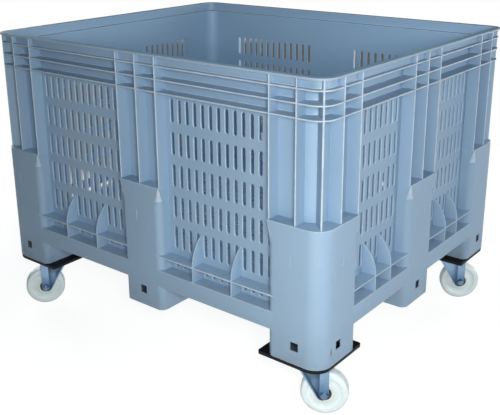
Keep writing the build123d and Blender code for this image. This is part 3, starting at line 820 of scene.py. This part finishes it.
def boot_mesh(face, back, skin, name):
    """A closed boot with its foot, in plan coordinates.

    face(radius, trim) is the outer line from arm end to arm end; back is the foot's inner line and skin
    the line along the wall, both from the last arm end to the first.
    """
    levels = boot_levels()
    bm = bmesh.new()
    rows = [row(bm, face(radius, trim), height) for height, radius, trim in levels]
    for low, high in zip(rows, rows[1:]):
        for i in range(len(low) - 1):
            bm.faces.new((low[i], low[i + 1], high[i + 1], high[i]))
    deck = min(range(len(levels)), key=lambda i: abs(levels[i][0] - DECK_LOW))
    back_low, back_high = row(bm, back, FOOT_Z), row(bm, back, DECK_LOW)
    skin_low, skin_high = row(bm, skin, DECK_LOW), row(bm, skin, BOOT_Z)

    def wall(first, last, low_line, high_line):
        """Close the boot between two levels, from the last arm end along a line to the first."""
        steps = rows[first:last + 1]
        posts = [[low, high] for low, high in zip(low_line, high_line)]
        posts = [[step[-1] for step in steps], *posts, [step[0] for step in steps]]
        for near, far in zip(posts, posts[1:]):
            bm.faces.new(near + far[::-1])

    wall(0, deck, back_low, back_high)
    wall(deck, len(rows) - 1, skin_low, skin_high)
    bm.faces.new(rows[0] + back_low)
    bm.faces.new([rows[deck][-1]] + back_high + [rows[deck][0]] + skin_low[::-1])
    bm.faces.new(rows[-1] + skin_high)
    return mesh_of(bm, name)


def within(point, low, high):
    """Whether a point lies in a block or on its faces."""
    return all(a - ROOM_SLACK < b < c + ROOM_SLACK for a, b, c in zip(low, point, high))


def hollowed(boot, rooms, openings, name):
    """A boot with its rooms and openings cut, and the lining of the rooms marked for painted shade in its
    finish.
    """
    mesh = cut(boot, rooms + openings, name)
    lining = [any(within(face.center, *room) for room in rooms) for face in mesh.polygons]
    keep(mesh, "inside_foot", "FACE", [float(lines) for lines in lining])
    return mesh


def opening_cutters(at):
    """Blocks for a boot face's square window and its shallow mark, in a wall's own coordinates."""
    cutters = []
    for wide, tall, deep, height in (
        (WINDOW, WINDOW, FOOT_WALL + CUT_PAST, WINDOW_Z), (MARK_WIDE, MARK_TALL, MARK_DEEP, MARK_Z),
    ):
        low = at - wide / 2, -CUT_PAST, height - tall / 2
        cutters.append((low, (at + wide / 2, deep, height + tall / 2)))
    return cutters


def mid_boot():
    """The boot of a middle post, in a wall's own coordinates: X along, Y inwards."""

    def face(radius, trim):
        half = MID_HALF - trim
        line = [Vector((-half, SKIN_MEET))]
        line += arc((-half + radius, trim + radius), radius, 180, 270)
        line += arc((half - radius, trim + radius), radius, 270, 360)
        return line + [Vector((half, SKIN_MEET))]

    back = arc((MID_HALF - FOOT_R, FOOT_DEPTH - FOOT_R), FOOT_R, 0, 90, FOOT_STEPS)
    back += arc((FOOT_R - MID_HALF, FOOT_DEPTH - FOOT_R), FOOT_R, 90, 180, FOOT_STEPS)
    half = MID_HALF - FOOT_SIDE
    room = (-half, FOOT_WALL, FOOT_Z + FOOT_WALL), (half, FOOT_DEPTH - FOOT_WALL, DECK_LOW - FOOT_WALL)
    return hollowed(boot_mesh(face, back, [], "mid_boot"), [room], opening_cutters(0.0), "mid_boot")


def corner_boot():
    """The boot of the front right corner post, with X and Y measured inwards from the corner."""

    def face(radius, trim):
        reach, bend = CORNER_REACH - trim, CORNER_R - trim
        line = [Vector((reach, SKIN_MEET))]
        line += arc((reach - radius, trim + radius), radius, 0, -90)
        line += arc((CORNER_R, CORNER_R), bend, 270, 180)
        line += arc((trim + radius, reach - radius), radius, 180, 90)
        return line + [Vector((SKIN_MEET, reach))]

    def both_faces(cutter):
        """A cutter and its mirror in the corner."""
        return [cutter, tuple((end[1], end[0], end[2]) for end in cutter)]

    radius = corner_radius(SKIN_MEET)
    skin = arc((SKIN_MEET + radius, SKIN_MEET + radius), radius, 180, 270)
    solid = boot_mesh(face, [Vector((CORNER_REACH, CORNER_REACH))], skin, "corner_boot")
    room = (
        (CORNER_R, FOOT_WALL, FOOT_Z + FOOT_WALL),
        (CORNER_REACH - FOOT_SIDE, CORNER_REACH - FOOT_WALL, DECK_LOW - FOOT_WALL),
    )
    openings = [side for cutter in opening_cutters(WINDOW_AT) for side in both_faces(cutter)]
    return hollowed(solid, both_faces(room), openings, "corner_boot")


def corner_skin():
    """The inner skin round a corner, with X and Y measured inwards from the corner."""
    lines = []
    for inset in (SKIN_OUT, SKIN_IN):
        radius = corner_radius(inset)
        bend = arc((inset + radius, inset + radius), radius, 270, 180)
        lines.append([Vector((CORNER_REACH, inset)), *bend, Vector((inset, CORNER_REACH))])
    return prism("corner_skin", lines[0] + lines[1][::-1], DECK_LOW, PANEL_HIGH)


def make_posts():
    """The boots, feet and inner skins of the eight posts."""
    boot = mid_boot()
    skin = block("mid_skin", (-MID_HALF, SKIN_OUT, DECK_LOW), (MID_HALF, SKIN_IN, PANEL_HIGH))
    for side, (run, out, half, distance, columns) in WALLS.items():
        place = axes_at(out * distance, run, -out, UP)
        tub_piece(joined(f"{side}_middle_boot", [(boot, place), (skin, place)]), f"{side}_mid_post")
    boot, skin = corner_boot(), corner_skin()
    for corner, (side_x, side_y) in CORNERS.items():
        mirror = Matrix.Diagonal((-side_x, -side_y, 1, 1))
        place = Matrix.Translation((side_x * HALF_LENGTH, side_y * HALF_WIDTH, 0)) @ mirror
        mesh = joined(f"{corner}_boot", [(boot, place), (skin, place)], outward=True)
        tub_piece(mesh, f"{corner}_corner_post")


def slot_tile(wide, tall, long, thick, offset=0.0):
    """A tile of a sheet with one upright slot in it, its outer edge eased; the outer face is at Z zero.

    Its border has as many points as the slot, so that the two can be stitched.
    """
    radius = SLOT_WIDE / 2
    reach = long / 2 - radius
    border = []
    for end in (1, -1):
        side, top, turn = end * wide / 2, end * tall / 2, end * reach + offset
        border += [(side, turn), (side, top), (side / 3, top), (-side / 3, top), (-side, top), (-side, turn)]

    def slot(size):
        points = arc((0, offset + reach), size, 0, 180, SLOT_STEPS)
        return points + arc((0, offset - reach), size, 180, 360, SLOT_STEPS)

    bm = bmesh.new()
    stitch(bm, [row(bm, points, height) for points, height in (
        (border, 0.0), (slot(radius + THIN_EDGE), 0.0), (slot(radius), -THIN_EDGE), (slot(radius), -thick),
        (border, -thick),
    )])
    return mesh_of(bm, "slot_tile", outward=False)


def slotted_sheet(name, tile, columns, rows, pitch, row_pitch, width, height):
    """A closed sheet of slots in local X and Y, its outer face at Z zero."""
    mesh = run_tree(SHEET, bpy.data.meshes.new("carrier"), tile, name, {
        "Columns": columns, "Rows": rows, "Column pitch": pitch, "Row pitch": row_pitch,
        "Panel width": width, "Panel height": height,
    })
    with edited(mesh) as bm:
        bmesh.ops.bridge_loops(bm, edges=[edge for edge in bm.edges if edge.is_boundary])
        bmesh.ops.recalc_face_normals(bm, faces=bm.faces)
    return mesh


def gusset():
    """A thin bracket on the sill with a hollow-curved outer edge; local Y is the inset and Z the height."""
    turn = (SKIN_OUT ** 2 + GUSSET_RISE ** 2) / (2 * SKIN_OUT)
    sweep = math.degrees(math.asin(GUSSET_RISE / turn))
    line = arc((turn + RIB_BACK, LEDGE_Z), turn, 180, 180 - sweep, GUSSET_STEPS)
    back = SKIN_OUT + SKIN_LAP / 2
    line += [Vector((back, LEDGE_Z + GUSSET_RISE)), Vector((back, DECK_Z)), Vector((RIB_BACK, DECK_Z))]
    return bevelled(bar("gusset", line, -RIB / 2, RIB / 2), "gusset_rounded", THIN_EDGE, 2)


def make_walls():
    """The slotted panels and the sills of the four walls."""
    skin = SKIN_IN - SKIN_OUT
    panel_tall, panel_middle = PANEL_HIGH - LEDGE_Z, (PANEL_HIGH + LEDGE_Z) / 2
    sill_tall, sill_middle = LEDGE_Z - DECK_LOW, (LEDGE_Z + DECK_LOW) / 2
    tile = slot_tile(SLOT_PITCH, ROW_PITCH, SLOT_LONG, skin)
    sill_tile = slot_tile(SLOT_PITCH, sill_tall, SHORT_SLOT, skin, SHORT_SLOT_Z - sill_middle)
    bracket = gusset()
    back = SKIN_MEET
    skirt = [
        (0, SKIRT_Z), (0, DECK_Z), (back, DECK_Z), (back, DECK_Z - LEDGE),
        (SKIRT_THICK, DECK_Z - LEDGE), (SKIRT_THICK, SKIRT_Z),
    ]
    ledge = [(0, LEDGE_Z - LEDGE), (0, LEDGE_Z), (back, LEDGE_Z), (back, LEDGE_Z - LEDGE)]
    profiles = [soften(profile, EDGE, (2, 3)) for profile in (skirt, ledge)]
    for side, (run, out, half, distance, columns) in WALLS.items():
        start, end = MID_HALF, half - CORNER_REACH
        middle, width = (start + end) / 2, end - start
        offset = SLOT_PITCH * GUSSET_COLUMNS[columns]
        panel = slotted_sheet("panel", tile, columns, ROWS, SLOT_PITCH, ROW_PITCH, width, panel_tall)
        low_skin = slotted_sheet("low_skin", sill_tile, columns, 1, SLOT_PITCH, sill_tall, width, sill_tall)
        wall = axes_at(out * distance, run, -out, UP)
        panels, sills, brackets = [], [], []
        for hand in (-1, 1):
            face = run * (hand * middle) + out * (distance - SKIN_OUT)
            for sheet, height in ((panel, panel_middle), (low_skin, sill_middle)):
                panels.append((sheet, axes_at(face + UP * height, run, UP, out)))
            begin = hand * middle - width / 2 - BOOT_EDGE_R
            for profile in profiles:
                sills.append((bar("strip", profile, begin, begin + width + 2 * BOOT_EDGE_R), wall))
            for place in (-1, 1):
                foot = run * (hand * middle + place * offset) + out * distance
                brackets.append((foot, math.atan2(run.y, run.x)))
        sills.append((copies_at(bracket, brackets, "brackets"), Matrix()))
        tub_piece(joined(f"{side}_slotted_skin", panels), f"{side}_panels")
        tub_piece(joined(f"{side}_sills", sills))


def make_floor():
    """The slotted floor of the box."""
    tile = slot_tile(DECK_PITCH, ROW_PITCH, SLOT_LONG, DECK_Z - DECK_LOW)
    tile.transform(Matrix.Rotation(math.pi / 2, 4, "Z"))
    width, depth = 2 * (HALF_LENGTH - SKIN_IN), 2 * (HALF_WIDTH - SKIN_IN)
    sheet = slotted_sheet("floor_sheet", tile, *DECK_SLOTS, ROW_PITCH, DECK_PITCH, width, depth)
    sheet.transform(Matrix.Translation((0, 0, DECK_Z)))
    tub_piece(sheet, "floor_deck")


# Castors


def node_copy(node, width, segments=3):
    """A merged copy of a frame node's mesh with its sharp edges rounded."""
    bm = bmesh.new()
    bm.from_mesh(nodes[node].data)
    bmesh.ops.remove_doubles(bm, verts=bm.verts, dist=NODE_WELD)
    bmesh.ops.dissolve_limit(bm, angle_limit=FLAT_ANGLE, verts=bm.verts, edges=bm.edges)
    return bevelled(mesh_of(bm, node, outward=False), f"{node}_rounded", width, segments)


def moulded_line(half, radius, width, deep):
    """Section points of a shallow line round a wheel's face."""
    slope, low, end = width / 4, half - deep, radius + width
    return [(half, radius), (low, radius + slope), (low, end - slope), (half, end)]


def wheel_mesh():
    """The wheel about local X: bore, hub boss, sunk web and face ring with a moulded line each, and tread."""
    half = [
        (HUB_HALF, BORE_R), (HUB_HALF, HUB_R), (WEB_HALF, WEB_RADII[0]), *moulded_line(WEB_HALF, *WEB_LINE),
        (WEB_HALF, WEB_RADII[1]), (HUB_HALF, FACE_RADII[0]), *moulded_line(HUB_HALF, *FACE_LINE),
        (HUB_HALF, FACE_RADII[1]), *SHOULDER,
    ]
    mesh = lathe("wheel", soften([*half, *[(-along, radius) for along, radius in half[::-1]]], WHEEL_ROUND))
    keep(mesh, "from_axle", "POINT", [math.hypot(vert.co.y, vert.co.z) for vert in mesh.vertices])
    return mesh


def middle_of(node):
    """The middle of a frame node's box."""
    low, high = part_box(node)
    return (Vector(low) + Vector(high)) / 2


def mark_trail(mesh, corner):
    """Keep on a fork's mesh how far each of its points lies along the trail from the king pin."""
    pin = middle_of(f"{corner}_king_pin")
    angle = math.radians(TRAIL_ANGLES[corner])
    trail = Vector((math.cos(angle), math.sin(angle), 0))
    keep(mesh, "along_trail", "POINT", [(vert.co - pin).dot(trail) for vert in mesh.vertices])


def paint(node, finish):
    """Give a frame node that stays in view its finish."""
    slots = nodes[node].data.materials
    slots.clear()
    slots.append(finish)


def make_castors():
    """The wheels, and rounded copies of the pressed and turned pieces."""
    wheel = wheel_mesh()
    for corner in CORNERS:
        swivel, roller = f"{corner}_swivel", f"{corner}_roller"
        turn = Matrix.Rotation(math.radians(TRAIL_ANGLES[corner] + 90), 4, "Z")
        place = Matrix.Translation(middle_of(f"{corner}_wheel")) @ turn
        mesh = joined(f"{corner}_nylon_wheel", [(wheel, place)])
        finished(mesh, NYLON, roller, (f"{corner}_wheel",))
        for kind, width, segments, finish, body, slot in (
            ("adapter_plate", 0.0010, 3, BLACK, "crate", "black_plate"),
            ("top_plate", 0.0007, 3, ZINC, "crate", "zinc_steel"),
            ("fork", 0.0014, 3, ZINC, swivel, "zinc_steel"),
            ("axle_bolt", 0.0044, 5, BRIGHT, swivel, "zinc_steel"),
            ("axle_nut", 0.0006, 3, BRIGHT, swivel, "zinc_steel"),
        ):
            node = f"{corner}_{kind}"
            mesh = node_copy(node, width, segments)
            if kind == "fork":
                mark_trail(mesh, corner)
            finished(mesh, finish, body, (node,))
        for kind in ("swivel_balls", "king_pin", "axle_sleeve"):
            paint(f"{corner}_{kind}", BRIGHT)
        paint(f"{corner}_hub_bearing", BEARING)
    finished(node_copy("castor_bolts", 0.0006), BRIGHT, "crate", ("castor_bolts",))


make_rim()
make_ribs()
make_posts()
make_walls()
make_floor()
make_castors()
for ribs in ("floor_long_ribs", "floor_cross_ribs"):
    paint(ribs, TUB)


# Stage


def shade_behind(net, place):
    """A mask for the floor: 1 in the soft wedge of shade behind the box, 0 outside it."""
    away = net.vector("DOT_PRODUCT", place, (-math.sin(VIEW_TURN), math.cos(VIEW_TURN), 0.0))["Value"]
    across = net.vector("DOT_PRODUCT", place, (math.cos(VIEW_TURN), math.sin(VIEW_TURN), 0.0))["Value"]
    wide = net.maths("DIVIDE", net.maths("ABSOLUTE", across), net.plus(away, SHADE_FROM))
    length = net.times(net.spread(away, *SHADE_START), net.fall(away, *SHADE_END))
    return net.times(length, net.fall(wide, *SHADE_WIDE))


def make_ground():
    """A pale floor that takes the shadow and fades into the white surroundings."""
    bm = bmesh.new()
    bmesh.ops.create_grid(bm, x_segments=1, y_segments=1, size=GROUND_HALF)
    ground = link(mesh_of(bm, "ground"), "ground")
    material = bpy.data.materials.new("pale_ground")
    material.use_nodes = True
    net = Net(material.node_tree)
    net.tree.nodes.clear()
    place = net.add("ShaderNodeTexCoord").outputs["Object"]
    rays = net.add("ShaderNodeLightPath").outputs
    seen = net.larger(net.larger(rays["Is Camera Ray"], rays["Is Glossy Ray"]), rays["Is Transmission Ray"])
    open_floor = net.spread(shade_behind(net, place), 0.0, 1.0, 1.0, 1.0 - SHADE_DARK)
    seen = net.times(seen, open_floor)
    tones = GROUND_TONE - GROUND_VARIES, GROUND_TONE + GROUND_VARIES
    tone = net.times(net.spread(net.noise(place, 3.0, 4.0), *NOISE_RANGE, *tones), open_floor)
    matte = net.add("ShaderNodeBsdfDiffuse", {"Color": tone})
    glow = net.add("ShaderNodeEmission", {"Strength": net.times(seen, GROUND_LIFT)})
    near = net.add("ShaderNodeAddShader", {0: matte.outputs[0], 1: glow.outputs[0]})
    white = net.add("ShaderNodeEmission", {"Strength": seen})
    fade = net.spread(net.vector("LENGTH", place)["Value"], *GROUND_FADE)
    blend = net.add("ShaderNodeMixShader", {0: fade, 1: near.outputs[0], 2: white.outputs[0]})
    net.add("ShaderNodeOutputMaterial", {"Surface": blend.outputs[0]})
    ground.data.materials.append(material)


def make_surroundings():
    """White to the eye, dimmer in reflections, and a weak even light to everything else."""
    world = bpy.data.worlds.new("surroundings")
    scene.world = world
    world.use_nodes = True
    net = Net(world.node_tree)
    rays = net.add("ShaderNodeLightPath").outputs
    seen = net.larger(rays["Is Camera Ray"], rays["Is Transmission Ray"])
    glossy = net.times(rays["Is Glossy Ray"], AMBIENT_GLOSS)
    shade = net.tree.nodes["Background"].inputs
    net.feed(shade["Color"], net.mixed(seen, AMBIENT_TINT, WHITE))
    net.feed(shade["Strength"], net.larger(net.larger(seen, glossy), AMBIENT))


def make_lamps():
    """Soft square lamps, each looking at a point."""
    for name, (place, target, size, power, tint) in LAMPS.items():
        lamp = bpy.data.lights.new(name, "AREA")
        lamp.shape = "SQUARE"
        lamp.size = size
        lamp.energy = power
        lamp.color = tint
        holder = link(lamp, name)
        holder.visible_camera = False
        holder.location = place
        holder.rotation_euler = (Vector(target) - Vector(place)).to_track_quat("-Z", "Y").to_euler()


def make_camera():
    """The view of the picture."""
    place = Matrix.Translation(VIEW_POINT)
    for angle, axis in ((VIEW_TURN, "Z"), (math.pi / 2 - VIEW_RISE, "X"), (VIEW_ROLL, "Z")):
        place @= Matrix.Rotation(angle, 4, axis)
    lens = bpy.data.cameras.new("view")
    lens.sensor_fit = "HORIZONTAL"
    lens.sensor_width = SENSOR
    lens.lens = FOCAL * SENSOR / PICTURE_WIDE
    lens.shift_y = (VIEW_MIDDLE - PICTURE_MIDDLE) / PICTURE_WIDE
    scene.camera = link(lens, "view")
    scene.camera.matrix_world = place @ Matrix.Translation((0, 0, VIEW_DISTANCE))


make_ground()
make_surroundings()
make_lamps()
make_camera()
